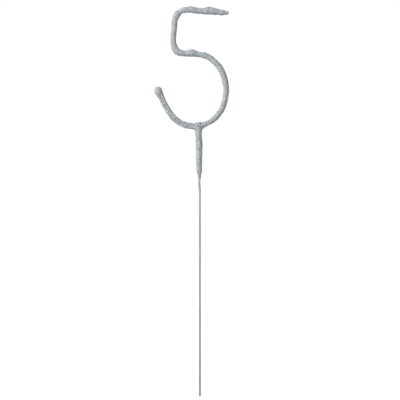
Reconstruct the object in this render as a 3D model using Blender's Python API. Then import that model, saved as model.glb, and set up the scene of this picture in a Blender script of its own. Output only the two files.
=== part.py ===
"""Number sparkler candle: a figure 5 bent from one steel wire and dipped in sparkler composition.

Metres, +Z up. The figure lies in the XZ plane and reads from -Y, with +X to its right. The origin
is the middle of the wire's cut lower end, and the bare wire below the figure is the stake.
"""

import math

import bmesh
import bpy
from mathutils import Matrix, Vector

# Wire: one piece from the cut end of the stake to the end of the top bar.
WIRE_DIAMETER = 0.0008
STRAND_GAP = 0.0001  # between the two runs of wire in the left arm

# Stake and neck: a small jog brings the neck to the left of the stake.
STAKE_LENGTH = 0.095
JOG_RADIUS = 0.010
JOG_ANGLE = math.radians(4)
JOG_LENGTH = 0.003
NECK_LEAN_ANGLE = math.radians(0.8)
NECK_LENGTH = 0.02365

# Left arm: out along the outer strand, a hairpin at the tip, and back beside it.
ARM_ROOT_RADIUS = 0.0015
ARM_ROOT_ANGLE = math.radians(91.2)
ARM_LOWER_RADIUS = 0.01345
ARM_LOWER_ANGLE = math.radians(57.75)
ARM_UPPER_RADIUS = 0.0425
ARM_UPPER_ANGLE = math.radians(12.25)
ARM_TIP_LENGTH = 0.003

# Bowl, middle bar, spine and top bar: a single run of wire.
BOWL_START_LENGTH = 0.00125
BOWL_LOWER_RADIUS = 0.0123
BOWL_LOWER_ANGLE = math.radians(54.5)
BOWL_SIDE_RADIUS = 0.0194
BOWL_SIDE_ANGLE = math.radians(72)
BOWL_SHOULDER_RADIUS = 0.012
BOWL_SHOULDER_ANGLE = math.radians(47.5)
MIDDLE_BAR_LENGTH = 0.00705
LOWER_CORNER_RADIUS = 0.005
LOWER_CORNER_ANGLE = math.radians(90)
SPINE_LENGTH = 0.00925
TOP_CORNER_RADIUS = 0.006
TOP_CORNER_ANGLE = math.radians(91)
TOP_BAR_LENGTH = 0.0173

# Coat: how thick it lies on the wire.
COAT_THICKNESS = 0.00092
ARM_COAT_THICKNESS = 0.00051  # over each of the arm's two strands
ARM_COAT_END_SHARE = 0.9  # of the arm's tip, inside the bulb
MERGE_LENGTH = 0.002  # in which the arm's coat becomes that of the single run
TIP_COAT_THICKNESS = 0.00075
TIP_TAPER_LENGTH = 0.0042
TIP_COVER = 0.0011  # past the wire's end in the top bar
TIP_DOME_LENGTH = 0.0013
CORNER_SWELL_HEIGHT = 0.00015  # where the paste gathered in the two tight corners
CORNER_SWELL_REACH = 0.005
CORNER_SWELL_SHARE = 0.5  # of the corner's bend, at the swell's middle

# Drips stand up, because the figure is dipped and dried upside down. Each has its height, its
# reach on either side along the bar, and its place as a share of the bar's length.
GREAT_DRIP_HEIGHT = 0.00084
GREAT_DRIP_STEEP_REACH = 0.0026
GREAT_DRIP_LONG_REACH = 0.0065
GREAT_DRIP_SHARE = 0.55
MINOR_DRIP_HEIGHT = 0.0003
MINOR_DRIP_REACH = 0.0037
MINOR_DRIP_SHARE = 0.09
MIDDLE_DRIP_HEIGHT = 0.0006
MIDDLE_DRIP_REACH = 0.0032
MIDDLE_DRIP_SHARE = 0.42

# Neck coat: a thin lip at its mouth, a quick shoulder, a long taper and a lump over the joint.
MOUTH_HEIGHT = 0.0033  # above the jog
LIP_WALL = 0.0002
THROAT_COAT_THICKNESS = 0.0009
THROAT_LENGTH = 0.003
NECK_COAT_THICKNESS = 0.00114
NECK_TAPER_LENGTH = 0.014
JOINT_COAT_THICKNESS = 0.00145
JOINT_REACH = 0.0024
JOINT_COVER = 0.00107  # above the wire that passes over the neck
JOINT_DOME_LENGTH = 0.0009
LEFT_WEB_RADIUS = 0.0015  # of the fillets in the corners between the neck and the arms
RIGHT_WEB_RADIUS = 0.0022
WEB_THICKNESS = 0.0016
WEB_BITE = 0.0001  # how far a web sinks into what it joins
WEB_SEARCH_STEP = 0.00005  # fineness of the search for a web's place

# Bulb: what covers the hairpin at the left arm's tip.
BULB_SIDE_COVER = 0.00085
BULB_END_COVER = 0.001
BULB_SETBACK = 0.0006  # from the hairpin's centre back along the arm to the bulb's
BULB_OUTSET = 0.0002  # and to the arm's outer side
BULB_FACE_COVER = 0.0011

# Bore: the room that the wire has in the coat.
CORE_CLEARANCE = 0.00025
POCKET_MARGIN = 0.00015  # by which the hairpin's round pocket is wider than the bores
RETURNING_BORE_SHARE = 0.1  # of the arm's tip, where the bore leaves the pocket again
OVERRUN = 0.001  # how far a cutter passes the face that it opens

# Finish and fineness.
COAT_COLOUR = (0.37, 0.40, 0.41, 1)
WIRE_COLOUR = (0.33, 0.34, 0.26, 1)
WELD_DISTANCE = 0.000001
SHARP_ANGLE = math.radians(40)
BEND_STEP = math.radians(12)
WIRE_RING_SPACING = 0.002
COAT_RING_SPACING = 0.0012
COAT_SIDES = 16
WIRE_SIDES = 12
DOME_STEPS = 4
DOME_ANGLE = math.radians(80)  # at the rim of the small flat that ends a dome
WEB_STEPS = 7
BULB_RINGS = 12

# Sizes that follow from the ones above.
WIRE_RADIUS = WIRE_DIAMETER / 2
HALF_PITCH = (WIRE_DIAMETER + STRAND_GAP) / 2
HAIRPIN_REACH = HALF_PITCH + WIRE_RADIUS
BORE_RADIUS = WIRE_RADIUS + CORE_CLEARANCE
UP = Vector((0, 0, 1))
DEPTH = Vector((0, 1, 0))


def ease(share):
    """0 up to share 0, 1 from share 1 on, and a smooth step between."""
    share = min(max(share, 0), 1)
    return share * share * (3 - 2 * share)


def bump(distance, reach):
    """1 at distance zero, falling smoothly to 0 at the reach."""
    return ease(1 - abs(distance) / reach)


def forwards(heading):
    """Unit vector of a heading, an angle in the XZ plane from +X towards +Z."""
    return Vector((math.cos(heading), 0, math.sin(heading)))


def leftwards(heading):
    """Unit vector to the left of a heading."""
    return Vector((-math.sin(heading), 0, math.cos(heading)))


class BentLine:
    """A line of named straights and round bends in the XZ plane, measured along its length."""

    def __init__(self, start, heading):
        self.stretches = []
        self.spans = {}
        self.length = 0
        self.end = start
        self.heading = heading

    def straight(self, name, length):
        self.add(name, length, 0, 0)

    def bend(self, name, radius, angle):
        """Turns through this angle, to the left where it is positive."""
        self.add(name, radius * abs(angle), radius, angle)

    def add(self, name, length, radius, angle):
        stretch = (self.length, length, self.end, self.heading, radius, angle)
        self.stretches.append(stretch)
        self.spans[name] = (self.length, self.length + length)
        self.end, self.heading = self.within(stretch, length)
        self.length += length

    @staticmethod
    def within(stretch, distance):
        """Point and heading this far into a stretch."""
        _, length, start, heading, radius, angle = stretch
        if not angle:
            return start + forwards(heading) * distance, heading
        turned = heading + angle * distance / length
        inwards = math.copysign(radius, angle)
        return start + (leftwards(heading) - leftwards(turned)) * inwards, turned

    def at(self, distance):
        """Point and heading at this distance along the line, which runs on straight past its end."""
        if distance > self.length:
            return self.end + forwards(self.heading) * (distance - self.length), self.heading
        stretch = [each for each in self.stretches if each[0] <= distance][-1]
        return self.within(stretch, distance - stretch[0])

    def place(self, name, share=0):
        """Distance along the line of a share of a named stretch."""
        first, last = self.spans[name]
        return first + (last - first) * share

    def knots(self, first, last):
        """Distances from first to last that follow the bends closely and cross a straight at once."""
        found = [first]
        for begin, length, _, _, _, angle in self.stretches:
            count = 1
            if angle:
                count = math.ceil(max(abs(angle) / BEND_STEP, length / WIRE_RING_SPACING))
            found += [begin + length * index / count for index in range(count)]
        return [distance for distance in found if first <= distance < last] + [last]


def bent_wire():
    """The wire's centre line, from the cut end of the stake to the end of the top bar."""
    line = BentLine(Vector((0, 0, 0)), math.radians(90))
    line.straight("stake", STAKE_LENGTH)
    line.bend("jog", JOG_RADIUS, JOG_ANGLE)
    line.straight("jog_run", JOG_LENGTH)
    line.bend("jog_back", JOG_RADIUS, NECK_LEAN_ANGLE - JOG_ANGLE)
    line.straight("neck", NECK_LENGTH)
    line.bend("arm_root", ARM_ROOT_RADIUS, ARM_ROOT_ANGLE)
    line.bend("arm_lower_out", ARM_LOWER_RADIUS + HALF_PITCH, -ARM_LOWER_ANGLE)
    line.bend("arm_upper_out", ARM_UPPER_RADIUS + HALF_PITCH, -ARM_UPPER_ANGLE)
    line.straight("arm_tip_out", ARM_TIP_LENGTH)
    line.bend("hairpin", HALF_PITCH, -math.radians(180))
    line.straight("arm_tip_back", ARM_TIP_LENGTH)
    line.bend("arm_upper_back", ARM_UPPER_RADIUS - HALF_PITCH, ARM_UPPER_ANGLE)
    line.bend("arm_lower_back", ARM_LOWER_RADIUS - HALF_PITCH, ARM_LOWER_ANGLE)
    line.straight("bowl_start", BOWL_START_LENGTH)
    line.bend("bowl_lower", BOWL_LOWER_RADIUS, BOWL_LOWER_ANGLE)
    line.bend("bowl_side", BOWL_SIDE_RADIUS, BOWL_SIDE_ANGLE)
    line.bend("bowl_shoulder", BOWL_SHOULDER_RADIUS, BOWL_SHOULDER_ANGLE)
    line.straight("middle_bar", MIDDLE_BAR_LENGTH)
    line.bend("lower_corner", LOWER_CORNER_RADIUS, -LOWER_CORNER_ANGLE)
    line.straight("spine", SPINE_LENGTH)
    line.bend("top_corner", TOP_CORNER_RADIUS, -TOP_CORNER_ANGLE)
    line.straight("top_bar", TOP_BAR_LENGTH)
    return line


def mesh_object(name, mesh, collection):
    """An object that holds this mesh, shaded smooth but for its sharp edges."""
    mesh.shade_smooth()
    mesh.set_sharp_from_angle(angle=SHARP_ANGLE)
    made = bpy.data.objects.new(name, mesh)
    collection.objects.link(made)
    return made


def tube(name, rings, sides, collection):
    """A round tube through (point, radius) rings: a beveled curve made a mesh, its caps welded on."""
    curve = bpy.data.curves.new(name, "CURVE")
    curve.dimensions = "3D"
    curve.bevel_depth = 1
    curve.bevel_resolution = (sides - 4) // 2
    curve.use_fill_caps = True
    spline = curve.splines.new("POLY")
    spline.points.add(len(rings) - 1)
    for knot, (point, radius) in zip(spline.points, rings):
        knot.co = (*point, 1)
        knot.radius = radius
    guide = bpy.data.objects.new(name, curve)
    collection.objects.link(guide)
    graph = bpy.context.evaluated_depsgraph_get()
    mesh = bpy.data.meshes.new_from_object(guide.evaluated_get(graph))
    shape = bmesh.new()
    shape.from_mesh(mesh)
    bmesh.ops.remove_doubles(shape, verts=shape.verts, dist=WELD_DISTANCE)
    bmesh.ops.recalc_face_normals(shape, faces=shape.faces)
    shape.to_mesh(mesh)
    shape.free()
    place = guide.matrix_world.copy()
    bpy.data.objects.remove(guide)
    made = mesh_object(name, mesh, collection)
    made.matrix_world = place
    return made


def evenly(first, last, spacing):
    """Even distances from first to last, no further apart than the spacing."""
    count = max(1, math.ceil((last - first) / spacing))
    return [first + (last - first) * index / count for index in range(count + 1)]


def domed(first, last, dome_length):
    """Even distances and then those of a dome that ends at last, each with its share of the radius."""
    found = [(distance, 1) for distance in evenly(first, last - dome_length, COAT_RING_SPACING)]
    for index in range(1, DOME_STEPS + 1):
        angle = DOME_ANGLE * index / DOME_STEPS
        found.append((last - dome_length * (1 - math.sin(angle)), math.cos(angle)))
    return found


def run_thickness(line, distance):
    """Coat thickness on the arm's returning strand and on the single run of wire after it."""
    merged = ease((distance - line.place("bowl_start")) / MERGE_LENGTH)
    thickness = ARM_COAT_THICKNESS + (COAT_THICKNESS - ARM_COAT_THICKNESS) * merged
    for corner in ("lower_corner", "top_corner"):
        past = distance - line.place(corner, CORNER_SWELL_SHARE)
        thickness += CORNER_SWELL_HEIGHT * bump(past, CORNER_SWELL_REACH)
    tapered = ease(1 - (line.length - distance) / TIP_TAPER_LENGTH)
    return thickness + (TIP_COAT_THICKNESS - COAT_THICKNESS) * tapered


def drip_rise(line, distance):
    """How far the drips raise the top of the coat here."""
    drips = (
        ("middle_bar", MIDDLE_DRIP_SHARE, MIDDLE_DRIP_HEIGHT, MIDDLE_DRIP_REACH, MIDDLE_DRIP_REACH),
        ("top_bar", MINOR_DRIP_SHARE, MINOR_DRIP_HEIGHT, MINOR_DRIP_REACH, MINOR_DRIP_REACH),
        ("top_bar", GREAT_DRIP_SHARE, GREAT_DRIP_HEIGHT, GREAT_DRIP_STEEP_REACH, GREAT_DRIP_LONG_REACH),
    )
    rise = 0
    for bar, share, height, reach_before, reach_after in drips:
        past = distance - line.place(bar, share)
        rise += height * bump(past, reach_after if past > 0 else reach_before)
    return rise


def run_coat(line, collection):
    """Coat of the wire after the hairpin: a tube that swells in corners and rises with the drips."""
    rings = []
    first = line.place("arm_tip_back")
    for distance, dome_share in domed(first, line.length + TIP_COVER, TIP_DOME_LENGTH):
        point, _ = line.at(distance)
        rise = drip_rise(line, distance)
        radius = WIRE_RADIUS + run_thickness(line, distance) + rise / 2
        rings.append((point + UP * (rise / 2), radius * dome_share))
    return tube("sparkler_coat", rings, COAT_SIDES, collection)


def arm_coat(line, collection):
    """Coat of the arm's outgoing strand, from inside the neck to inside the bulb."""
    first = line.place("arm_root", 1)
    last = line.place("arm_tip_out", ARM_COAT_END_SHARE)
    radius = WIRE_RADIUS + ARM_COAT_THICKNESS
    rings = [(line.at(distance)[0], radius) for distance in evenly(first, last, COAT_RING_SPACING)]
    return tube("arm_coat", rings, COAT_SIDES, collection)


def neck_coat(line, collection):
    """Coat of the neck, with the lump that stands a little over the joint."""
    mouth, heading = line.at(line.place("neck") + MOUTH_HEIGHT)
    along = forwards(heading)
    joint = (line.at(line.place("bowl_lower"))[0] - mouth).dot(along)
    top = joint + WIRE_RADIUS + JOINT_COVER
    lip_thickness = CORE_CLEARANCE + LIP_WALL
    rings = []
    for height, dome_share in domed(0, top, JOINT_DOME_LENGTH):
        thickness = lip_thickness
        thickness += (THROAT_COAT_THICKNESS - lip_thickness) * ease(height / THROAT_LENGTH)
        thickness += (NECK_COAT_THICKNESS - THROAT_COAT_THICKNESS) * ease(height / NECK_TAPER_LENGTH)
        thickness += (JOINT_COAT_THICKNESS - NECK_COAT_THICKNESS) * bump(height - joint, JOINT_REACH)
        rings.append((mouth + along * height, (WIRE_RADIUS + thickness) * dome_share))
    return tube("neck_coat", rings, COAT_SIDES, collection)


def web(name, line, arm, coat_thickness, fillet_radius, collection):
    """Fills the corner under an arm with part of a ring, round the centre of its fillet.

    arm is the stretch that the web hangs from, under a coat of this thickness. The fillet's centre
    lies below it, as far from the neck's surface as from the arm's.
    """
    neck_point, neck_heading = line.at(line.place("neck", 1))
    out_of_neck = leftwards(neck_heading)
    if out_of_neck.dot(line.at(line.place(arm, 1))[0] - neck_point) < 0:
        out_of_neck.negate()
    from_neck = WIRE_RADIUS + NECK_COAT_THICKNESS + fillet_radius
    from_arm = WIRE_RADIUS + coat_thickness + fillet_radius
    spots = []
    for distance in evenly(line.place(arm), line.place(arm, 1), WEB_SEARCH_STEP):
        over, arm_heading = line.at(distance)
        out_of_arm = leftwards(arm_heading)
        if out_of_arm.dot(UP) > 0:
            out_of_arm.negate()
        centre = over + out_of_arm * from_arm
        missed_by = abs(out_of_neck.dot(centre - neck_point) - from_neck)
        spots.append((missed_by, centre, out_of_arm))
    _, centre, out_of_arm = min(spots, key=lambda spot: spot[0])
    radius = WEB_THICKNESS / 2
    sweep = fillet_radius + WEB_BITE + radius
    rings = []
    for index in range(WEB_STEPS + 1):
        turned = out_of_neck.slerp(out_of_arm, index / WEB_STEPS)
        rings.append((centre - turned * sweep, radius))
    return tube(name, rings, WIRE_SIDES, collection)


def hairpin_centre(line):
    """Centre of the hairpin's bend, and the arm's direction there."""
    tip, heading = line.at(line.place("arm_tip_out", 1))
    return tip - leftwards(heading) * HALF_PITCH, forwards(heading)


def bulb_coat(line, collection):
    """The bulb over the hairpin, an ellipsoid along the arm."""
    centre, along = hairpin_centre(line)
    outwards = along.cross(DEPTH)
    half_sizes = (
        outwards * (HAIRPIN_REACH + BULB_SIDE_COVER),
        DEPTH * (WIRE_RADIUS + BULB_FACE_COVER),
        along * (HAIRPIN_REACH + BULB_END_COVER + BULB_SETBACK),
    )
    place = centre - along * BULB_SETBACK + outwards * BULB_OUTSET
    placed = Matrix.Translation(place) @ Matrix(half_sizes).transposed().to_4x4()
    shape = bmesh.new()
    bmesh.ops.create_uvsphere(shape, u_segments=COAT_SIDES, v_segments=BULB_RINGS, radius=1)
    return primitive_object("bulb_coat", shape, placed, collection)


def hairpin_pocket(line, collection):
    """Cutter for the hairpin: a flattened ball about the axis of its bend."""
    centre, _ = hairpin_centre(line)
    radius = HALF_PITCH + BORE_RADIUS + POCKET_MARGIN
    half_depth = BORE_RADIUS + POCKET_MARGIN
    placed = Matrix.Translation(centre) @ Matrix.Diagonal((radius, half_depth, radius, 1))
    shape = bmesh.new()
    bmesh.ops.create_uvsphere(shape, u_segments=COAT_SIDES, v_segments=BULB_RINGS, radius=1)
    return primitive_object("hairpin_pocket", shape, placed, collection)


def primitive_object(name, shape, placed, collection):
    """The mesh of a primitive, moved to its place."""
    bmesh.ops.transform(shape, matrix=placed, verts=shape.verts)
    bmesh.ops.recalc_face_normals(shape, faces=shape.faces)
    mesh = bpy.data.meshes.new(name)
    shape.to_mesh(mesh)
    shape.free()
    return mesh_object(name, mesh, collection)


def bore(name, line, first, last, collection):
    """Cutter for the room round the wire between two distances along it."""
    rings = [(line.at(distance)[0], BORE_RADIUS) for distance in line.knots(first, last)]
    return tube(name, rings, WIRE_SIDES, collection)


def combine(target, helpers, operation):
    """Joins all the shapes of a collection to the target, or cuts them away, in one Boolean."""
    modifier = target.modifiers.new(helpers.name, "BOOLEAN")
    modifier.operation = operation
    modifier.solver = "EXACT"
    modifier.operand_type = "COLLECTION"
    modifier.collection = helpers
    for helper in helpers.objects:
        helper.hide_render = True
        helper.display_type = "WIRE"


def finish(target, name, colour, roughness, metallic):
    """Gives the object a Principled material of its own."""
    material = bpy.data.materials.new(name)
    material.use_nodes = True
    shader = material.node_tree.nodes["Principled BSDF"]
    shader.inputs["Base Color"].default_value = colour
    shader.inputs["Roughness"].default_value = roughness
    shader.inputs["Metallic"].default_value = metallic
    material.diffuse_color = colour
    target.data.materials.clear()
    target.data.materials.append(material)


def new_collection(name):
    made = bpy.data.collections.new(name)
    bpy.context.scene.collection.children.link(made)
    return made


def main():
    for leftover in list(bpy.data.objects):
        bpy.data.objects.remove(leftover)
    parts = new_collection("number_sparkler_candle")
    joined = new_collection("joined_shapes")
    cutters = new_collection("cutters")

    line = bent_wire()
    rings = [(line.at(distance)[0], WIRE_RADIUS) for distance in line.knots(0, line.length)]
    wire = tube("core_wire", rings, WIRE_SIDES, parts)
    finish(wire, "drawn_steel", WIRE_COLOUR, roughness=0.45, metallic=1)

    coat = run_coat(line, parts)
    arm_coat(line, joined)
    neck_coat(line, joined)
    web("right_web", line, "bowl_lower", COAT_THICKNESS, RIGHT_WEB_RADIUS, joined)
    web("left_web", line, "arm_lower_out", ARM_COAT_THICKNESS, LEFT_WEB_RADIUS, joined)
    bulb_coat(line, joined)
    combine(coat, joined, "UNION")

    mouth = line.place("neck") + MOUTH_HEIGHT
    returning = line.place("arm_tip_back", RETURNING_BORE_SHARE)
    bore("outgoing_bore", line, mouth - OVERRUN, line.place("arm_tip_out", 1), cutters)
    bore("returning_bore", line, returning, line.length + CORE_CLEARANCE, cutters)
    hairpin_pocket(line, cutters)
    combine(coat, cutters, "DIFFERENCE")
    finish(coat, "sparkler_composition", COAT_COLOUR, roughness=0.75, metallic=0.35)

    bpy.context.view_layer.update()
    print(f"wire {line.length * 1000:.1f} mm long, ends at {line.end * 1000}")


main()
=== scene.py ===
# %% [markdown]
# # A number sparkler candle, figure 5
#
# A sparkler candle is a steel wire that is bent into a number and dipped, upside down, into a
# grey paste of metal powder, oxidiser and binder. The paste dries to a gritty skin that sparkles
# as it burns. The bare end of the wire is the stake that goes into the cake.
#
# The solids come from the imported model. This lesson dresses them: it works out a fine wire and a
# fine, gritty coat with numpy, gives both a procedural finish, and lights and frames them.

import bpy
import numpy as np
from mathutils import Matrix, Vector


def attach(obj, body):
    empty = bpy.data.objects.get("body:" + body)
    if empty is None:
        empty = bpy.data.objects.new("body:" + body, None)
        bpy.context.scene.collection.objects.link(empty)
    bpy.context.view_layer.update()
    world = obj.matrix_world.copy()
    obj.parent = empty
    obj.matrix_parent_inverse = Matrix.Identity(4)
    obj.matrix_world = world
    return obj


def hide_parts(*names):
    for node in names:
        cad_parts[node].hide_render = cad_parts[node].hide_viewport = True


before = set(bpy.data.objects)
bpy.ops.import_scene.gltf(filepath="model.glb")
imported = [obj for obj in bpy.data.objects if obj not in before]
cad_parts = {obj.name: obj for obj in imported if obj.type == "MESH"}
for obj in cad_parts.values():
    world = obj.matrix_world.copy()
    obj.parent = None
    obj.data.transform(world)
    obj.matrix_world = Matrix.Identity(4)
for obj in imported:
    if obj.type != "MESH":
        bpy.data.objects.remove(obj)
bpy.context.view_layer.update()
MM = 0.001

# %% [markdown]
# ## The wire's line
#
# A wire bender works from a list: run straight for so long, bend round a pin of this radius
# through this angle. A curve drawn by hand through points could follow the figure too, but its
# bends would waver where the pin gives a true arc. So the line is kept as the bender's list. It
# starts at the cut end of the stake, goes up the neck, out along the left arm, round a hairpin
# and back beside itself, and then on as the single stroke of the figure. Most radii and angles
# of the figure come from a least-squares fit of such a list to a photograph, and were rounded.

# %% The bender's list
WIRE_RADIUS = 0.4
STRAND_GAP = 0.1
HALF_PITCH = WIRE_RADIUS + STRAND_GAP / 2
ARM_LOWER = 13.45
ARM_UPPER = 42.5

# Name, bend radius in mm or 0 for a straight, and then its angle to the left in degrees, or the
# straight's length in mm.
STAKE_AND_JOG = (
    ("stake", 0, 95),
    ("jog", 10, 4),
    ("jog_run", 0, 3),
    ("jog_back", 10, -3.2),
)
FIGURE = (
    ("neck", 0, 23.65),
    ("arm_root", 1.5, 91.2),
    ("arm_lower_out", ARM_LOWER + HALF_PITCH, -57.75),
    ("arm_upper_out", ARM_UPPER + HALF_PITCH, -12.25),
    ("arm_tip_out", 0, 3),
    ("hairpin", HALF_PITCH, -180),
    ("arm_tip_back", 0, 3),
    ("arm_upper_back", ARM_UPPER - HALF_PITCH, 12.25),
    ("arm_lower_back", ARM_LOWER - HALF_PITCH, 57.75),
    ("bowl_start", 0, 1.25),
    ("bowl_lower", 12.3, 54.5),
    ("bowl_side", 19.4, 72),
    ("bowl_shoulder", 12, 47.5),
    ("middle_bar", 0, 7.05),
    ("lower_corner", 5, -90),
    ("spine", 0, 9.25),
    ("top_corner", 6, -91),
    ("top_bar", 0, 17.3),
)
print(len(STAKE_AND_JOG + FIGURE), "stretches, from", STAKE_AND_JOG[0][0], "to", FIGURE[-1][0])


# %% Lay the line
def travelled(heading, curvature, distance):
    """The way from the start of a stretch to this distance along it.

    It is the chord of an arc: the distance times the sine of half the turn over half the turn,
    pointing halfway between the first heading and the last. A straight has no turn.
    """
    half_turn = curvature * distance / 2
    chord = distance * np.sinc(half_turn / np.pi)
    return chord * np.cos(heading + half_turn), chord * np.sin(heading + half_turn)


class Line:
    """Straights and round bends laid end to end in the XZ plane, in mm, from the origin upwards."""

    def __init__(self, bends):
        self.names = [name for name, _, _ in bends]
        rows = []
        begin, x, z, heading = 0.0, 0.0, 0.0, np.pi / 2
        for _, radius, amount in bends:
            angle = np.radians(amount) if radius else 0.0
            length = radius * abs(angle) if radius else amount
            rows.append((begin, length, x, z, heading, angle / length))
            step_x, step_z = travelled(heading, angle / length, length)
            begin, x, z, heading = begin + length, x + step_x, z + step_z, heading + angle
        self.rows = np.array(rows)
        self.length = begin

    def place(self, name, share=0.0):
        """Distance along the line of a share of a named stretch."""
        begin, length = self.rows[self.names.index(name), :2]
        return begin + length * share

    def at(self, distance):
        """Points x, z and headings at these distances along the line."""
        index = np.searchsorted(self.rows[:, 0], distance, side="right") - 1
        begin, _, x, z, heading, curvature = self.rows[np.maximum(index, 0)].T
        step_x, step_z = travelled(heading, curvature, distance - begin)
        return x + step_x, z + step_z, heading + curvature * (distance - begin)

    def nearest(self, x, z, first, last):
        """For points x, z: where between two distances the line passes nearest.

        On a straight that is the point's shadow on it, and on a bend the point with the same
        bearing from the bend's centre, both held within the stretch. Returns the distance along
        the line, how far the point lies to its left, and how far past its end.
        """
        best = [np.full(x.shape, np.inf) for _ in range(4)]
        for begin, length, start_x, start_z, heading, curvature in self.rows:
            low, high = max(first - begin, 0), min(last - begin, length)
            if high <= low:
                continue
            if curvature:
                centre_x = start_x - np.sin(heading) / curvature
                centre_z = start_z + np.cos(heading) / curvature
                side = np.sign(curvature)
                bearing = np.arctan2((z - centre_z) * side, (x - centre_x) * side) + np.pi / 2
                turned = (bearing - heading + np.pi) % (2 * np.pi) - np.pi
                along = turned / curvature
            else:
                along = (x - start_x) * np.cos(heading) + (z - start_z) * np.sin(heading)
            along = np.clip(along, low, high)
            step_x, step_z = travelled(heading, curvature, along)
            off_x, off_z = x - start_x - step_x, z - start_z - step_z
            there = heading + curvature * along
            left = off_z * np.cos(there) - off_x * np.sin(there)
            past = off_x * np.cos(there) + off_z * np.sin(there)
            away = left**2 + past**2
            nearer = away < best[0]
            found = (away, begin + along, left, past)
            best = [np.where(nearer, new, old) for new, old in zip(found, best)]
        return best[1:]


wire_line = Line(STAKE_AND_JOG + FIGURE)
end_x, end_z, _ = wire_line.at(np.array([wire_line.length]))
print(f"wire line {wire_line.length:.1f} mm long, ends at x {end_x[0]:.2f}, z {end_z[0]:.2f}")

# %% [markdown]
# ## From a path to a skin
#
# Both pieces start as a round section carried along the line. Blender's curve objects can do
# that with a bevel, but here the radius has to follow formulas, so the rings are worked out as
# one numpy array: a row for each ring, a column for each side.


# %% Sweep a section along a path
def swept(line, distances, radii, sides):
    """A closed tube of rings round the line, with a point in the middle of each end.

    Point (i, j) is the line's point i, plus radius i times the cosine of side angle j towards
    the left and its sine towards the back. Returns the points in mm, quads and triangles.
    """
    x, z, heading = line.at(distances)
    turn = np.linspace(0, 2 * np.pi, sides, endpoint=False)
    left = radii[:, None] * np.cos(turn)
    back = radii[:, None] * np.sin(turn)
    ring_x = x[:, None] - left * np.sin(heading)[:, None]
    ring_z = z[:, None] + left * np.cos(heading)[:, None]
    rings = np.stack([ring_x, back, ring_z], axis=-1).reshape(-1, 3)
    middles = np.array([(x[0], 0, z[0]), (x[-1], 0, z[-1])])
    count = len(distances)
    corner = np.arange(count * sides).reshape(count, sides)
    beside = np.roll(corner, -1, axis=1)
    quads = np.stack([corner[:-1], corner[1:], beside[1:], beside[:-1]], axis=-1).reshape(-1, 4)
    first = np.stack([corner[0], beside[0], np.full(sides, count * sides)], axis=-1)
    last = np.stack([beside[-1], corner[-1], np.full(sides, count * sides + 1)], axis=-1)
    return np.vstack([rings, middles]), quads, np.vstack([first, last])


def mesh_piece(name, points, quads, triangles):
    """An object at the origin whose mesh has these points, in mm, and faces."""
    mesh = bpy.data.meshes.new(name)
    mesh.from_pydata(points * MM, [], quads.tolist() + triangles.tolist())
    mesh.shade_smooth()
    piece = bpy.data.objects.new(name, mesh)
    bpy.context.scene.collection.objects.link(piece)
    return piece


def points_of(mesh):
    """The mesh's points in mm, as an array."""
    found = np.empty(len(mesh.vertices) * 3, np.float32)
    mesh.vertices.foreach_get("co", found)
    return found.reshape(-1, 3).astype(float) / MM


# %% [markdown]
# ## The bare wire
#
# The wire is mild steel, drawn cold through a die and cut off with shears, which round over the
# rim of the cut. The solid has few sides, and they show in a close view. A cylinder bent along a
# curve would be rounder, but it would only follow the bender's list roughly and could touch its
# bore. So the wire is swept along the list itself.

# %% Make the wire
WIRE_SIDES = 28
RIM_ROUNDING = 0.07
RIM_RINGS = 5
STAKE_RING_SPACING = 1.5
BEND_RING_SPACING = 0.35

rim_angles = np.linspace(0, np.pi / 2, RIM_RINGS)
rim = RIM_ROUNDING * (1 - np.cos(rim_angles))
stake_rings = np.arange(RIM_ROUNDING + STAKE_RING_SPACING, wire_line.place("jog"), STAKE_RING_SPACING)
bend_rings = np.arange(wire_line.place("jog"), wire_line.length, BEND_RING_SPACING)
wire_distances = np.concatenate([rim, stake_rings, bend_rings, [wire_line.length]])
wire_radii = np.full(len(wire_distances), WIRE_RADIUS)
wire_radii[: len(rim)] -= RIM_ROUNDING * (1 - np.sin(rim_angles))
wire = mesh_piece("bent_wire", *swept(wire_line, wire_distances, wire_radii, WIRE_SIDES))
print("wire rings:", len(wire_distances), "faces:", len(wire.data.polygons))

# %% [markdown]
# ## The shape of the coat
#
# Wet paste has no seams: where the arms meet the neck it flows into one skin with soft fillets.
# Tubes joined with a Boolean keep hard creases there. So the coat is described by a field
# instead: for any point, its distance from the skin, less than zero inside. Two fields are
# joined with a smooth minimum, which fills the corner between them like paste does.
#
# Each swell below is a place where the paste gathered or ran thin: it is thick in the tight
# corners and in drips on top of the bars, because the figure dries upside down, and it seldom
# lies quite even on both sides of the wire. The sizes of the swells and of the neck's profile
# follow measured distances between the edges in a render and those in a photograph.

# %% Sizes of the coat
COAT = 0.92
ARM_COAT = 0.51
MERGE_LENGTH = 2
TIP_COAT = 0.75
TIP_TAPER = 4.2
DOME_STRETCH = 1.35

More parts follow.
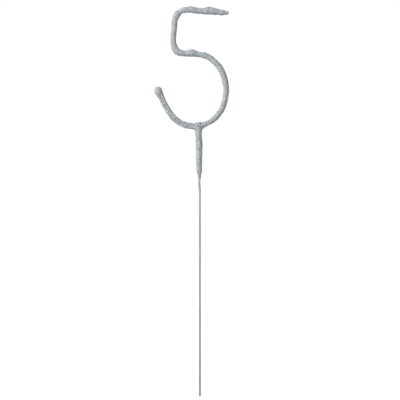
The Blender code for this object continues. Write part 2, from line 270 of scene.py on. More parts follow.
# Stretch, share of its length, reach before and after, and extra thickness on the left and on
# the right of the wire's line as it runs from the stake to the tip, in mm.
SWELLS = (
    ("arm_lower_out", 0.33, 1.5, 1.5, 0.15, 0),
    ("arm_lower_out", 0.8, 2.5, 2.5, 0.16, 0),
    ("arm_tip_out", 0.5, 3, 2, 0.22, 0),
    ("arm_lower_back", 0.15, 2, 2, 0.06, 0),
    ("arm_lower_back", 0.47, 1.5, 1.5, -0.12, 0),
    ("arm_lower_back", 0.75, 1.5, 3, 0.12, 0),
    ("bowl_start", 1, 3, 4, -0.06, -0.06),
    ("bowl_lower", 0.2, 1.2, 2.2, -0.16, 0.18),
    ("bowl_lower", 0.42, 2.2, 3.6, -0.28, -0.14),
    ("bowl_side", 0.06, 1, 5, -0.15, 0.18),
    ("bowl_side", 0.31, 2, 2, -0.06, -0.08),
    ("bowl_side", 0.62, 2, 3, 0.2, 0.08),
    ("bowl_side", 0.92, 8, 4, 0.03, 0.12),
    ("bowl_shoulder", 0.18, 3.5, 2.8, 0.15, -0.21),
    ("bowl_shoulder", 0.71, 1.3, 1.3, 0.06, 0.12),
    ("bowl_shoulder", 0.9, 1.4, 1.4, 0.03, -0.15),
    ("middle_bar", 0.44, 3, 3.2, 0.03, 0.8),
    ("lower_corner", 0.08, 1.4, 2.4, -0.2, 0.16),
    ("lower_corner", 0.3, 5.5, 3.5, 0.36, -0.15),
    ("lower_corner", 0.5, 5, 4.5, 0.17, 0.17),
    ("lower_corner", 0.85, 1.5, 2, -0.2, 0.08),
    ("spine", 0.26, 3.5, 5, 0.1, -0.19),
    ("spine", 0.42, 1.5, 1.5, 0.12, 0),
    ("spine", 0.95, 3, 3, 0.11, -0.03),
    ("top_corner", 0.39, 1.5, 1.2, 0.3, 0),
    ("top_corner", 0.45, 5, 5, 0.15, 0.15),
    ("top_corner", 0.6, 2.2, 2.2, 0, -0.42),
    ("top_corner", 0.92, 1.2, 1.2, -0.18, 0.08),
    ("top_bar", 0.06, 3.7, 3.5, 0.33, 0),
    ("top_bar", 0.24, 4, 5, 0, 0.14),
    ("top_bar", 0.46, 1.7, 1.8, 0.27, 0.18),
    ("top_bar", 0.55, 2.6, 6.5, 0.86, 0),
    ("top_bar", 0.8, 1.3, 1.2, 0, -0.16),
    ("top_bar", 0.9, 1.4, 1.4, 0.12, 0.16),
    ("top_bar", 0.97, 2.5, 2, 0.05, -0.16),
    ("top_bar", 1, 1.2, 1, -0.15, -0.18),
)
print(len(SWELLS), "swells on a coat", COAT, "mm thick,", ARM_COAT, "mm on each strand of the arm")

# %% Sizes of the neck's coat
# From the thin film on the wire to the lump over the joint: height above the stake's cut end,
# radius, and how far it hangs to the right of the wire, in mm.
NECK_PROFILE = (
    (92.5, 0.36, 0),
    (94.9, 0.43, -0.03),
    (95.5, 0.59, -0.2),
    (97.4, 0.53, -0.13),
    (98.5, 0.44, -0.09),
    (99.6, 0.5, -0.05),
    (101.2, 0.67, 0.07),
    (102.3, 0.79, 0.06),
    (103.3, 1.12, 0.04),
    (105, 1.26, 0.01),
    (107, 1.34, -0.02),
    (110, 1.44, -0.02),
    (113, 1.48, 0.11),
    (116, 1.55, 0.19),
    (118, 1.52, 0.08),
    (120, 1.45, -0.03),
    (122, 1.52, -0.09),
    (124, 1.65, -0.02),
    (127, 1.68, 0),
)
NECK_EASING = 0.5
NECK_EASING_SAMPLES = 7
NECK_FOOT = NECK_PROFILE[0][0]
NECK_TOP = 126.62
NECK_TOP_ROUNDING = 0.6
neck_radii = [radius for _, radius, _ in NECK_PROFILE]
print(f"neck's coat from {2 * min(neck_radii):.2f} to {2 * max(neck_radii):.2f} mm wide")


# %% How thick the paste lies
def ease(share):
    """0 up to share 0, 1 from share 1 on, and between them 3 shares squared less 2 cubed."""
    share = np.clip(share, 0, 1)
    return share * share * (3 - 2 * share)


def coat_section(distance):
    """Radius of the coat, and how far its middle lies to the left of the wire's, at distances
    along the wire's line: the mean and half the difference of its two sides' thicknesses."""
    merged = ease((distance - wire_line.place("bowl_start")) / MERGE_LENGTH)
    tapered = ease(1 - (wire_line.length - distance) / TIP_TAPER)
    thickness = ARM_COAT + (COAT - ARM_COAT) * merged + (TIP_COAT - COAT) * tapered
    shift = np.zeros_like(thickness)
    for name, share, before, after, left, right in SWELLS:
        past = distance - wire_line.place(name, share)
        swell = ease(1 - np.abs(past) / np.where(past > 0, after, before))
        thickness = thickness + swell * (left + right) / 2
        shift = shift + swell * (left - right) / 2
    return WIRE_RADIUS + thickness, shift


def neck_section(height):
    """Radius and shift to the right of the neck's coat: straight lines between the profile's
    rows, averaged over a short window so that they round over."""
    heights, radii, shifts = np.array(NECK_PROFILE).T
    window = np.linspace(-NECK_EASING, NECK_EASING, NECK_EASING_SAMPLES)
    radius = np.mean([np.interp(height + past, heights, radii) for past in window], axis=0)
    shift = np.mean([np.interp(height + past, heights, shifts) for past in window], axis=0)
    return radius, shift


mid_spine = np.array([wire_line.place("spine", 0.5)])
print(f"halfway up the spine the stroke is {2 * coat_section(mid_spine)[0][0]:.2f} mm wide")

# %% Where the hairpin and the joint lie
NECK_LINE = 40  # the neck's straight, drawn out past its top

neck_line = Line(STAKE_AND_JOG + (("neck", 0, NECK_LINE),))
run_first = wire_line.place("arm_tip_back")
arm_first, arm_last = wire_line.place("arm_root", 1), wire_line.place("arm_tip_out", 1)
hairpin_x, hairpin_z, arm_heading = (float(v) for v in wire_line.at(np.array(arm_last)))
hairpin_x += HALF_PITCH * np.sin(arm_heading)
hairpin_z -= HALF_PITCH * np.cos(arm_heading)
joint_x, joint_z, _ = (float(v) for v in wire_line.at(np.array(wire_line.place("bowl_start"))))
print(f"hairpin at x {hairpin_x:.2f}, z {hairpin_z:.2f}; joint at x {joint_x:.2f}, z {joint_z:.2f}")

# %% Parts of the coat's field
TINY = 0.001  # stands in for a length near zero where something is divided by it
BULB_HALF_SIZES = (1.72, 2.45, 1.5)
BULB_SETBACK = 0.6
BULB_OUTSET = 0.31


def bulb_field(x, y, z):
    """About the distance from an ellipsoid along the arm, round the hairpin.

    The point's places along the three axes over their half sizes give a vector of length r, and
    over the half sizes squared one of length g. The distance is r times r less 1, over g.
    """
    cos, sin = np.cos(arm_heading), np.sin(arm_heading)
    along = (x - hairpin_x) * cos + (z - hairpin_z) * sin + BULB_SETBACK
    aside = (z - hairpin_z) * cos - (x - hairpin_x) * sin - BULB_OUTSET
    half_width, half_length, half_depth = BULB_HALF_SIZES
    scaled = np.stack([aside / half_width, along / half_length, y / half_depth])
    sized = scaled / np.array([half_width, half_length, half_depth])[:, None]
    reach = np.sqrt((scaled**2).sum(0))
    return reach * (reach - 1) / np.maximum(np.sqrt((sized**2).sum(0)), TINY)


def neck_field(x, y, z):
    """Distance from the neck's round coat, whose radius follows the height, with a rounded top:
    the way out and the way up from the rounding's centre, squared, added and rooted, less the
    rounding."""
    along, left, _ = neck_line.nearest(x, z, 0, neck_line.length)
    height = neck_line.at(along)[1]
    radius, shift = neck_section(height)
    out = np.hypot(left + shift, y) - radius + NECK_TOP_ROUNDING
    up = height - NECK_TOP + NECK_TOP_ROUNDING
    down = NECK_FOOT - height
    side = np.minimum(np.maximum(out, up), 0) + np.hypot(np.maximum(out, 0), np.maximum(up, 0))
    return np.maximum(side - NECK_TOP_ROUNDING, down)


def tube_field(x, y, z, first, last):
    """Distance from the round coat of the line between two distances along it: the ways left,
    past and back, squared, added and rooted, less the radius. Past an end the way counts for
    less, so that the coat ends in a drawn-out dome."""
    along, left, past = wire_line.nearest(x, z, first, last)
    radius, shift = coat_section(along)
    return np.sqrt((left - shift) ** 2 + (past / DOME_STRETCH) ** 2 + y**2) - radius


print("the bulb is", [round(2 * half, 2) for half in BULB_HALF_SIZES], "mm wide, long and deep")

# %% The coat's field
STRAND_BLEND = 0.12
BULB_BLEND = 0.7
TOP_BLEND = 0.5
LEFT_WEB = 0.9
RIGHT_WEB = 1.75
WEB_TO_BLEND = 1.17  # the width of a blend over that of the web that it makes
WEB_CHANGE = 2  # over what length one web turns into the other, and the top's blend into both
WEB_RISE_SHARE = 0.25  # share of that length that lies above the joint
FLAT_SIDE_SHARE = 0.45  # how much narrower the webs are towards the front and the back
FLAT_SIDE_REACH = 1
CREASE_DEPTH, CREASE_WIDTH = 0.12, 0.25
CREASE_END, CREASE_FADE = 1.2, 1.5  # how far from the joint the crease ends, and over what length


def blended(one, other, width):
    """Smooth minimum of two fields: the lesser one, and where they differ by less than the
    width, up to a quarter of the width less than that."""
    share = np.clip(0.5 + (other - one) / (2 * width), 0, 1)
    return other + (one - other) * share - width * share * (1 - share)


def in_crease(x, run, strand):
    """From 0 to 1: how deep in the groove along the arm a point lies, from the fields of its two
    strands. It is a bell curve of their difference, and it fades out before the joint."""
    bell = np.exp(-(((run - strand) / CREASE_WIDTH) ** 2))
    return bell * ease((joint_x - CREASE_END - x) / CREASE_FADE)


def coat_field(points):
    """Distance from the coat's skin in mm, less than zero inside: the smooth minimum of the two
    strands and the bulb, and then of these and the neck, as wide as the web there."""
    x, y, z = points.T
    run = tube_field(x, y, z, run_first, wire_line.length)
    strand = tube_field(x, y, z, arm_first, arm_last)
    arms = blended(run, strand, STRAND_BLEND) + CREASE_DEPTH * in_crease(x, run, strand)
    arms = blended(arms, bulb_field(x, y, z), BULB_BLEND)
    web = LEFT_WEB + (RIGHT_WEB - LEFT_WEB) * ease((x - joint_x) / WEB_CHANGE + 0.5)
    below = ease((joint_z - z) / WEB_CHANGE + WEB_RISE_SHARE)
    width = TOP_BLEND + (web * WEB_TO_BLEND - TOP_BLEND) * below
    width *= 1 - FLAT_SIDE_SHARE * ease(np.abs(y) / FLAT_SIDE_REACH)
    return blended(arms, neck_field(x, y, z), width)


joint_depth = coat_field(np.array([(joint_x, 0, joint_z)]))[0]
print(f"the joint lies {-joint_depth:.2f} mm under the skin")

# %% [markdown]
# ## From the field to a mesh
#
# Plain tubes give a first skin. Blender's voxel remesh turns them into one closed mesh of small
# even squares, like shrink-wrap, and then every point is moved down the field's slope until it
# lies on the skin. Doing both twice keeps the squares even in the fillets too.

# %% First tubes
COARSE_SIDES = 24
TUBE_RING_SPACING = 0.3
TIP_RINGS = 5
TIP_LAST_BEARING = 1.4  # just short of a right angle, at which the ring would be a point


def bulb_skin():
    """The bulb's ellipsoid as rings along the arm.

    At bearing b from its lower end a ring lies half the length times minus cosine b from the
    middle, with sine b as its share of the half width and the half depth.
    """
    bearing = np.linspace(0, np.pi, COARSE_SIDES // 2 + 1)[1:-1]
    half_width, half_length, half_depth = BULB_HALF_SIZES
    axis = Line((("axis", 0, 1),))
    points, quads, triangles = swept(axis, -np.cos(bearing), np.sin(bearing), COARSE_SIDES)
    aside, back, along = (points * (half_width, half_depth, half_length)).T
    aside, along = BULB_OUTSET - aside, along - BULB_SETBACK
    cos, sin = np.cos(arm_heading), np.sin(arm_heading)
    x = hairpin_x + along * cos - aside * sin
    z = hairpin_z + along * sin + aside * cos
    return np.stack([x, back, z], axis=-1), quads, triangles


run_distances = np.arange(run_first, wire_line.length, TUBE_RING_SPACING)
run_radii = coat_section(run_distances)[0]
tip_radius = run_radii[-1]
tip_bearing = np.linspace(0, TIP_LAST_BEARING, TIP_RINGS + 1)[1:]
run_distances = np.append(run_distances, wire_line.length + tip_radius * np.sin(tip_bearing))
run_radii = np.append(run_radii, tip_radius * np.cos(tip_bearing))
arm_distances = np.arange(arm_first, arm_last, TUBE_RING_SPACING)
arm_radii = np.full(len(arm_distances), WIRE_RADIUS + ARM_COAT)
neck_distances = np.arange(NECK_FOOT, NECK_TOP, TUBE_RING_SPACING)
tubes = (
    swept(wire_line, run_distances, run_radii, COARSE_SIDES),
    swept(wire_line, arm_distances, arm_radii, COARSE_SIDES),
    swept(neck_line, neck_distances, neck_section(neck_distances)[0], COARSE_SIDES),
    bulb_skin(),
)
starts = np.cumsum([0] + [len(points) for points, _, _ in tubes])
coat = mesh_piece(
    "dipped_coat",
    np.vstack([points for points, _, _ in tubes]),
    np.vstack([quads + start for (_, quads, _), start in zip(tubes, starts)]),
    np.vstack([triangles + start for (_, _, triangles), start in zip(tubes, starts)]),
)
print("first tubes:", len(tubes), "with", len(coat.data.polygons), "faces")

# %% Wrap and settle the skin
FIRST_VOXEL = 0.25
VOXEL = 0.138
SLOPE_STEP = 0.01
SETTLE_ROUNDS = 5
LEAST_SLOPE_SQUARED = 0.05  # where the field is flatter than this, a move would be wild


def slope_of(field, points):
    """How fast the field grows along X, Y and Z: its difference over a small step each way."""
    steps = np.eye(3) * SLOPE_STEP
    rises = [field(points + step) - field(points - step) for step in steps]
    return np.stack(rises, axis=-1) / (2 * SLOPE_STEP)


def settle(points, rounds, longest):
    """Moves points onto the skin by Newton's rule: against the slope, by the field over the
    slope squared, and never further than the longest move."""
    for _ in range(rounds):
        slope = slope_of(coat_field, points)
        steepness = (slope**2).sum(1)
        move = coat_field(points) / np.maximum(steepness, LEAST_SLOPE_SQUARED)
        length = np.abs(move) * np.sqrt(steepness)
        move *= np.minimum(1, longest / np.maximum(length, TINY))
        points = points - move[:, None] * slope
    return points


def wrapped(piece, voxel):
    """The piece's mesh after a voxel remesh, as a new mesh."""
    remesh = piece.modifiers.new("wrap", "REMESH")
    remesh.mode = "VOXEL"
    remesh.voxel_size = voxel * MM
    graph = bpy.context.evaluated_depsgraph_get()
    mesh = bpy.data.meshes.new_from_object(piece.evaluated_get(graph))
    piece.modifiers.remove(remesh)
    return mesh


for voxel in (FIRST_VOXEL, VOXEL):
    coat.data = wrapped(coat, voxel)
    skin = settle(points_of(coat.data), SETTLE_ROUNDS, voxel)
    coat.data.vertices.foreach_set("co", (skin * MM).ravel())
    coat.data.update()
    left_over = np.abs(coat_field(skin)).max()
    print(f"voxel {voxel} mm: {len(skin)} points, furthest from the skin {left_over:.4f} mm")

# %% [markdown]
# ## Grit in the skin
#
# Dried sparkler paste looks like fine concrete: flakes and filings of metal stand out of the
# binder, and slow lumps show where it ran. Bump alone would leave the outline smooth, so both
# are real relief. Random numbers come from a formula on whole-numbered cells, so that every run
# gives the same grains.

# %% Numbers for the grit
CELL_FACTORS = np.array([374761393, 668265263, 1440662683])
SEED_FACTOR = 1274126177
MIXING = ((13, 1103515245), (15, 668265263))  # a shift and a factor for each round
LAST_SHIFT = 16
LOW_BITS = 0xFFFFFFFF
GRAIN_SCATTER = 0.6  # share of its cell within which a grain's middle lies
GRAIN_RADIUS_SHARES = (0.45, 0.7)


def cell_random(cells, seed):
    """A number from 0 to 1 for each whole-numbered cell: its three numbers times large factors,
    added up and then mixed by shifts and products, of which the low bits are kept."""
    mixed = (cells.astype(np.int64) * CELL_FACTORS).sum(-1)
    mixed = (mixed + seed * SEED_FACTOR) & LOW_BITS
    for shift, factor in MIXING:
        mixed = ((mixed ^ (mixed >> shift)) * factor) & LOW_BITS
    return (mixed ^ (mixed >> LAST_SHIFT)) / LOW_BITS


def soft_noise(points, size, seed):
    """From -1 to 1: random numbers at the corners of cells of this size, eased in between."""
    scaled = points / size
    cell = np.floor(scaled)
    share = ease(scaled - cell)
    total = np.zeros(len(points))
    for corner in np.ndindex(2, 2, 2):
        weight = np.prod(np.where(np.array(corner) == 1, share, 1 - share), axis=1)
        total += weight * cell_random(cell + corner, seed)
    return total * 2 - 1


def grain_height(points, spacing, seed):
    """From 0 to 1: one ball near the middle of each cell, of random place and size, and the
    highest one's top.

    A ball's height at a point is the root of its radius squared less the distance squared.
    """
    least, most = GRAIN_RADIUS_SHARES
    scaled = points / spacing
    cell = np.floor(scaled)
    height = np.zeros(len(points))
    for neighbour in np.ndindex(3, 3, 3):
        there = cell + neighbour - 1
        off = np.stack([cell_random(there, seed + axis) for axis in range(3)], axis=-1) - 0.5
        radius = least + (most - least) * cell_random(there, seed + 3)
        away = ((scaled - there - 0.5 - off * GRAIN_SCATTER) ** 2).sum(1)
        height = np.maximum(height, np.sqrt(np.maximum(radius**2 - away, 0)))
    return height / most


print(f"the cell at the origin draws {cell_random(np.zeros(3), 1):.3f}, in every run")

# %% Relief
LUMP_SIZE, LUMP_HEIGHT, LUMP_SEED = 2.4, 0.03, 21
BLISTER_SIZE, BLISTER_HEIGHT, BLISTER_SEED = 0.95, 0.015, 31
GRAIN_SPACING, GRAIN_HEIGHT, GRAIN_SEED = 0.6, 0.09, 11  # coarser than the real grit, to show
FULL_RELIEF_COAT = 0.4  # a thinner coat has less relief
FILM_RELIEF_SHARE = 0.3

outwards = slope_of(coat_field, skin)
outwards /= np.linalg.norm(outwards, axis=1)[:, None]
on_neck = skin[:, 2] < NECK_TOP
neck_coat = np.where(on_neck, neck_section(skin[:, 2])[0] - WIRE_RADIUS, COAT)
grains = grain_height(skin, GRAIN_SPACING, GRAIN_SEED)
relief = LUMP_HEIGHT * soft_noise(skin, LUMP_SIZE, LUMP_SEED)
relief += BLISTER_HEIGHT * soft_noise(skin, BLISTER_SIZE, BLISTER_SEED)
relief += GRAIN_HEIGHT * (grains - grains.mean())
relief *= np.maximum(ease(neck_coat / FULL_RELIEF_COAT), FILM_RELIEF_SHARE)
gritty = skin + outwards * relief[:, None]
coat.data.vertices.foreach_set("co", (gritty * MM).ravel())
coat.data.shade_smooth()
print(f"relief from {relief.min():.3f} to {relief.max():.3f} mm")
print("coat from", gritty.min(0).round(2), "to", gritty.max(0).round(2), "mm")

# %% Marks for the finish to read
CREASE_SHADE = 0.3
CREASE_REACH = 0.5
FILM_COAT = 0.14  # a thinner coat lets the wire show through

to_run = tube_field(*skin.T, run_first, wire_line.length)
to_strand = tube_field(*skin.T, arm_first, arm_last)
creased = in_crease(skin[:, 0], to_run, to_strand)
creased *= 1 - ease(np.minimum(to_run, to_strand) / CREASE_REACH)
# The first mark is painted shade: the finish darkens the colour with it where the relief is low and in
# the groove between the arm's two strands.
marks = {
    "relief_for_painted_shade": relief / (BLISTER_HEIGHT + GRAIN_HEIGHT) + 0.5 - CREASE_SHADE * creased,
    "thickness": neck_coat / FILM_COAT,
}
for name, values in marks.items():
    attribute = coat.data.attributes.new(name, "FLOAT", "POINT")
    attribute.data.foreach_set("value", values.astype(np.float32))
    print(f"{name} from {values.min():.2f} to {values.max():.2f}")
coat.data.update()

# %% [markdown]
# ## Finishes
#
# A finish is a small network of nodes. Colours are written as they look on a screen and turned
# to the linear numbers that the renderer mixes, and every pattern's scale is worked out from a
# real size.


# %% Helpers for finishes
# Mix has sockets for every kind of value. These are its share's, and those of its colours.
MIX_SHARE, MIX_FROM, MIX_TO, MIXED = 0, 6, 7, 2


def linear(colour):
    """Linear RGBA of an sRGB hex colour: each channel plus 0.055 over 1.055, to the power 2.4,
    or over 12.92 where it is nearly black."""
    channels = [int(colour[i : i + 2], 16) / 255 for i in (1, 3, 5)]
    return [((c + 0.055) / 1.055) ** 2.4 if c > 0.04045 else c / 12.92 for c in channels] + [1]


def add(tree, kind, sockets=(), **settings):
    """Adds a node with its settings, and links or sets its sockets, given as name and value."""
    node = tree.nodes.new(kind)
    for name, value in settings.items():
        setattr(node, name, value)
    for name, value in dict(sockets).items():
        if isinstance(value, bpy.types.NodeSocket):
            tree.links.new(value, node.inputs[name])
        else:
            node.inputs[name].default_value = value
    return node


def per_metre(size):
    """Texture scale at which one cell of a pattern is this many mm wide."""
    return 1 / (size * MM)


def new_finish(name):
    """A material with an untouched Principled shader, its tree, that shader, and the object's
    own coordinates."""
    material = bpy.data.materials.new(name)
    material.use_nodes = True
    tree = material.node_tree
    place = add(tree, "ShaderNodeTexCoord").outputs["Object"]
    return material, tree, tree.nodes["Principled BSDF"], place


print("a screen's half grey is", round(linear("#808080")[0], 3), "in linear light")

# %% [markdown]
# ### Drawn steel
#
# Bright drawn wire keeps a trace of drawing soap and a thin yellowish oxide, so it is duller and
# warmer than polished steel. The die leaves fine lines along it, handling leaves darker bands,
# and the lower stake is browner. A picture of scratches would have to be unwrapped round a wire
# as thin as this, and a noise in the wire's own space needs no unwrapping. So the lines are a
# noise stretched along the stake, and the bands one stretched across it. The lines are drawn
# coarser than the real 0.01 mm, so that they show at all.

# %% Drawn steel
DIE_LINE, LINE_STRETCH = 0.09, (1, 1, 0.02)
BAND, BAND_STRETCH = 5.0, (0.2, 0.2, 1)
BAND_TINTS = ((0.35, "#76756d"), (0.65, "#8b8b83"))
BROWNED_UP_TO, MOST_BROWNED, BROWN = 85, 0.7, "#787363"
LINE_DEPTH = 0.004

steel, tree, shader, place = new_finish("drawn_mild_steel")
patterns = {}
for name, size, stretch, detail in (
    ("lines", DIE_LINE, LINE_STRETCH, 2),
    ("bands", BAND, BAND_STRETCH, 3),
):
    stretched = add(tree, "ShaderNodeMapping", {"Vector": place, "Scale": stretch}).outputs["Vector"]
    noise = {"Vector": stretched, "Scale": per_metre(size), "Detail": detail}
    patterns[name] = add(tree, "ShaderNodeTexNoise", noise).outputs["Fac"]
banded = add(tree, "ShaderNodeValToRGB", {"Fac": patterns["bands"]})
for stop, (position, colour) in zip(banded.color_ramp.elements, BAND_TINTS):
    stop.position = position
    stop.color = linear(colour)
height = add(tree, "ShaderNodeSeparateXYZ", {"Vector": place}).outputs["Z"]
lower = {"Value": height, "From Min": BROWNED_UP_TO * MM, "From Max": 0, "To Max": MOST_BROWNED}
browned = add(tree, "ShaderNodeMapRange", lower).outputs["Result"]
layer = {MIX_SHARE: browned, MIX_FROM: banded.outputs["Color"], MIX_TO: linear(BROWN)}
tint = add(tree, "ShaderNodeMix", layer, data_type="RGBA").outputs[MIXED]
rough = {"Value": patterns["lines"], "To Min": 0.34, "To Max": 0.52}
scored = {"Height": patterns["lines"], "Strength": 0.5, "Distance": LINE_DEPTH * MM}
tree.links.new(tint, shader.inputs["Base Color"])
tree.links.new(add(tree, "ShaderNodeMapRange", rough).outputs["Result"], shader.inputs["Roughness"])
tree.links.new(add(tree, "ShaderNodeBump", scored).outputs["Normal"], shader.inputs["Normal"])
shader.inputs["Metallic"].default_value = 1
wire.data.materials.append(steel)
print(steel.name, "has", len(tree.nodes), "nodes")

# %% [markdown]
# ### Sparkler composition
#
# The dried paste is grey metal powder in a pale binder: matt like plaster, sandy all over, with
# small dark pits and here and there a flake of metal that faces the light. A painted picture
# would stretch and repeat on the bends, so the finish is built up in the coat's own space, one
# layer of colour over the other, as the paste's own grains lie. Noises give the mottle and the
# sand. Voronoi cells give the pits and the flakes: each cell holds one spot, which is there only
# if the cell's own random number says so, and a finer noise shakes its outline, because a clean
# disc looks printed. Pits and flakes are drawn coarser than real ones, so that they show.
# The hollows of the relief and the groove between the arm's two strands get painted shade: their
# colour is darker. The thin film on the wire is darker too, and takes some yellow from the steel.

# %% Patterns of the composition
MOTTLE = 2.2
SAND = 0.3
FINE_GRIT, FINE_GRIT_HEIGHT = 0.1, 0.02
PIT_SPACING = 0.6
FLAKE_SPACING = 0.55
CHIP, RAGGED = 0.3, 0.6  # size of the chips on a spot's outline, and how far they push it

composition, tree, shader, place = new_finish("dried_sparkler_composition")
chips = add(tree, "ShaderNodeTexNoise", {"Vector": place, "Scale": per_metre(CHIP), "Detail": 2})
shaken = {0: chips.outputs["Color"], 1: (RAGGED * MM,) * 3, 2: place}
wavering = add(tree, "ShaderNodeVectorMath", shaken, operation="MULTIPLY_ADD").outputs["Vector"]


def spots(spacing, present, edge, middle):
    """Ragged spots, one to a cell, in this share of the cells: from 0 at the edge's distance
    from the cell's own point to 1 at the middle's."""
    cells = add(tree, "ShaderNodeTexVoronoi", {"Vector": wavering, "Scale": per_metre(spacing)}).outputs
    draw = add(tree, "ShaderNodeSeparateColor", {"Color": cells["Color"]}).outputs["Red"]
    chosen = add(tree, "ShaderNodeMath", {0: draw, 1: present}, operation="LESS_THAN").outputs[0]
    limits = {"Value": cells["Distance"], "From Min": edge, "From Max": middle}
    spot = add(tree, "ShaderNodeMapRange", limits).outputs["Result"]
    return add(tree, "ShaderNodeMath", {0: chosen, 1: spot}, operation="MULTIPLY").outputs[0]


patterns = {
    "pits": spots(PIT_SPACING, present=0.6, edge=0.38, middle=0.22),
    "flakes": spots(FLAKE_SPACING, present=0.4, edge=0.3, middle=0.16),
}
for name, size, detail in (("mottle", MOTTLE, 2), ("sand", SAND, 3), ("fine_grit", FINE_GRIT, 3)):
    noise = {"Vector": place, "Scale": per_metre(size), "Detail": detail}
    patterns[name] = add(tree, "ShaderNodeTexNoise", noise).outputs["Fac"]
for name in marks:
    patterns[name] = add(tree, "ShaderNodeAttribute", attribute_name=name).outputs["Fac"]
print("patterns:", ", ".join(patterns))

# %% Sparkler composition
BINDER = "#a3a8aa"

# Pattern, its value where the layer begins and where it is strongest, the share of the colour
# that it takes there, and its own colour.
LAYERS = (
    ("mottle", 0.35, 0.65, 1, "#adb2b4"),
    ("sand", 0.58, 0.35, 0.8, "#868c8f"),
    ("pits", 0, 1, 1, "#565c60"),
    # Painted shade: darker where the relief is low and in the groove between the arm's strands.
    ("relief_for_painted_shade", 0.45, -0.1, 0.7, "#666c70"),
    ("flakes", 0, 1, 1, "#cfd3d5"),
    ("thickness", 0.9, 0.2, 0.8, "#97968c"),
)
# Socket, and its value on the binder and on a flake.
SHINE = (("Metallic", 0.03, 0.5), ("Roughness", 0.85, 0.45))

colour = linear(BINDER)
for name, begins, strongest, most, tint in LAYERS:
    limits = {"Value": patterns[name], "From Min": begins, "From Max": strongest, "To Max": most}
    share = add(tree, "ShaderNodeMapRange", limits).outputs["Result"]
    layer = {MIX_SHARE: share, MIX_FROM: colour, MIX_TO: linear(tint)}
    colour = add(tree, "ShaderNodeMix", layer, data_type="RGBA").outputs[MIXED]
tree.links.new(colour, shader.inputs["Base Color"])
for socket, on_binder, on_flake in SHINE:
    limits = {"Value": patterns["flakes"], "To Min": on_binder, "To Max": on_flake}
    tree.links.new(add(tree, "ShaderNodeMapRange", limits).outputs["Result"], shader.inputs[socket])
gritted = {"Height": patterns["fine_grit"], "Strength": 0.8, "Distance": FINE_GRIT_HEIGHT * MM}
tree.links.new(add(tree, "ShaderNodeBump", gritted).outputs["Normal"], shader.inputs["Normal"])
shader.inputs["Specular IOR Level"].default_value = 0.03
coat.data.materials.append(composition)
print(composition.name, "has", len(tree.nodes), "nodes")

# %% [markdown]
# ## Put the pieces on the frame
#
# The candle is one rigid body, so both pieces ride on it, and each stands for the solid whose
# place it takes.

# %% Ride on the body
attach(wire, "root")
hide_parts("core_wire")
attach(coat, "root")
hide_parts("sparkler_coat")
print("on the body root:", wire.name, "and", coat.name)

# %% [markdown]
# ## Stage
#
# A product picture on white needs a floor that is white to the camera but still takes a faint
# shadow. Light Path tells the floor which ray is asking: the camera and reflections mostly get
# plain white, and light that bounces gets an ordinary pale floor. The white grows with the
# distance from the candle, so that no horizon shows.

# %% Floor and backdrop
FLOOR_SIZE = 4.0
NEAR_WHITENESS, FAR_WHITENESS = 0.85, 1.0
NEAR, FAR = 0.1, 0.6
FLOOR_GLOW = 1.07  # makes up for what the lit paper lacks of white

corner_shares = np.array([(-0.5, -0.5, 0), (0.5, -0.5, 0), (0.5, 0.5, 0), (-0.5, 0.5, 0)])
one_quad, no_triangles = np.array([(0, 1, 2, 3)]), np.empty((0, 3), int)
floor = mesh_piece("floor", FLOOR_SIZE / MM * corner_shares, one_quad, no_triangles)


def seen_directly(tree):
    """1 for rays from the camera, in reflections and through glass, 0 for bounced light: the
    largest of Light Path's three answers."""
    path = add(tree, "ShaderNodeLightPath").outputs
    seen = path["Is Camera Ray"]
    for ray in ("Is Glossy Ray", "Is Transmission Ray"):
        seen = add(tree, "ShaderNodeMath", {0: seen, 1: path[ray]}, operation="MAXIMUM").outputs[0]
    return seen


paper, tree, shader, place = new_finish("white_paper_floor")
shader.inputs["Base Color"].default_value = linear("#c4c4c4")
shader.inputs["Roughness"].default_value = 0.9
glow = add(tree, "ShaderNodeEmission", {"Color": linear("#ffffff"), "Strength": FLOOR_GLOW})
away = add(tree, "ShaderNodeVectorMath", {0: place}, operation="LENGTH").outputs["Value"]
limits = {"From Min": NEAR, "From Max": FAR, "To Min": NEAR_WHITENESS, "To Max": FAR_WHITENESS}
whiteness = add(tree, "ShaderNodeMapRange", {"Value": away, **limits}).outputs["Result"]
answers = {0: seen_directly(tree), 1: whiteness}
share = add(tree, "ShaderNodeMath", answers, operation="MULTIPLY").outputs[0]
glowing = add(tree, "ShaderNodeMixShader", {0: share, 1: shader.outputs[0], 2: glow.outputs[0]})
tree.links.new(glowing.outputs[0], tree.nodes["Material Output"].inputs["Surface"])
floor.data.materials.append(paper)
print("floor", FLOOR_SIZE, "m square, of", paper.name)

# %% [markdown]
# ## Light
#
# The light is a plain studio one. A soft lamp high on the left models the round strokes, a wider
# one by the camera fills them in, a third does the same for the back, and a weak one behind on
# the right keeps that side from going black. Little light comes from the right and from below,
# which leaves the thin dark edge there that sets a grey object off from a white ground. The
# lamps together light a surface that faces the camera at about the level at which its colour
# shows as written. The first two are near what a fit to a photograph's tones gives for them.

# %% Soft studio light
ROUND_ABOUT = 0.03
LAMP_TARGET = Vector((0, 0, 0.14))

# Name, way from the target, distance and diameter in metres, and brightness on a white card
# held square to it, where 1 is white.
LAMPS = (
    ("key_light", (-0.71, -0.38, 0.58), 1.1, 0.45, 1.2),
    ("front_fill", (0.0, -0.98, 0.2), 1.6, 0.7, 0.58),
    ("back_fill", (-0.1, 0.98, 0.2), 1.6, 0.5, 0.75),
    ("right_rim", (0.72, 0.68, 0.15), 1.4, 0.4, 0.25),
)

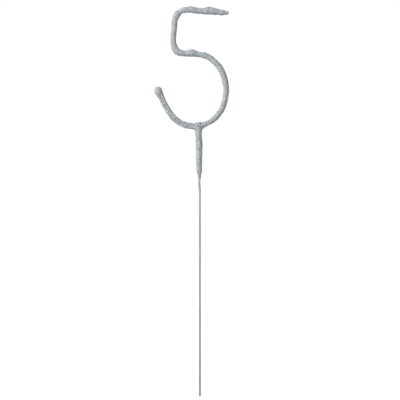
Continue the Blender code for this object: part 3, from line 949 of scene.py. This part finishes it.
world = bpy.data.worlds.new("studio")
world.use_nodes = True
bpy.context.scene.world = world
tree = world.node_tree
strength = {"Value": seen_directly(tree), "To Min": ROUND_ABOUT, "To Max": 1}
strength = add(tree, "ShaderNodeMapRange", strength).outputs["Result"]
tree.nodes["Background"].inputs["Color"].default_value = linear("#ffffff")
tree.links.new(strength, tree.nodes["Background"].inputs["Strength"])

for name, way, distance, diameter, brightness in LAMPS:
    lamp = bpy.data.objects.new(name, bpy.data.lights.new(name, "AREA"))
    way = Vector(way).normalized()
    lamp.data.shape = "DISK"
    lamp.data.size = diameter
    # A white card there looks white when the watts are pi times the distance, squared.
    lamp.data.energy = brightness * (np.pi * distance) ** 2
    lamp.location = LAMP_TARGET + way * distance
    lamp.rotation_euler = way.to_track_quat("Z", "Y").to_euler()
    lamp.visible_camera = False
    bpy.context.scene.collection.objects.link(lamp)
    print(f"{name}: {lamp.data.energy:.1f} W at {distance} m")

# %% [markdown]
# ## Camera
#
# The photograph looks straight at the figure with a long lens, so that nothing leans. In a
# frame of 400 pixels the stake's cut end lies at pixel row 396 and the candle is 389 pixels
# tall, which gives the size of a pixel and from it the distance.

# %% Camera
FRAME_PIXELS = 400
STAKE_END_ROW = 396
STAKE_COLUMN = 199.95
CANDLE_HEIGHT, CANDLE_PIXELS = 180.0, 389
PIXEL = CANDLE_HEIGHT / CANDLE_PIXELS
LENS = 200
SENSOR = 36

frame_width = FRAME_PIXELS * PIXEL * MM
camera = bpy.data.objects.new("camera", bpy.data.cameras.new("camera"))
camera.data.lens = LENS
camera.data.sensor_width = SENSOR
camera_x = (FRAME_PIXELS / 2 - STAKE_COLUMN) * PIXEL * MM
camera_z = (STAKE_END_ROW - FRAME_PIXELS / 2) * PIXEL * MM
camera.location = (camera_x, -frame_width * LENS / SENSOR, camera_z)
camera.rotation_euler = (np.pi / 2, 0, 0)
bpy.context.scene.collection.objects.link(camera)
bpy.context.scene.camera = camera
bpy.context.scene.view_settings.view_transform = "Standard"
print(f"camera {frame_width * LENS / SENSOR:.3f} m away, frame {frame_width / MM:.1f} mm wide")
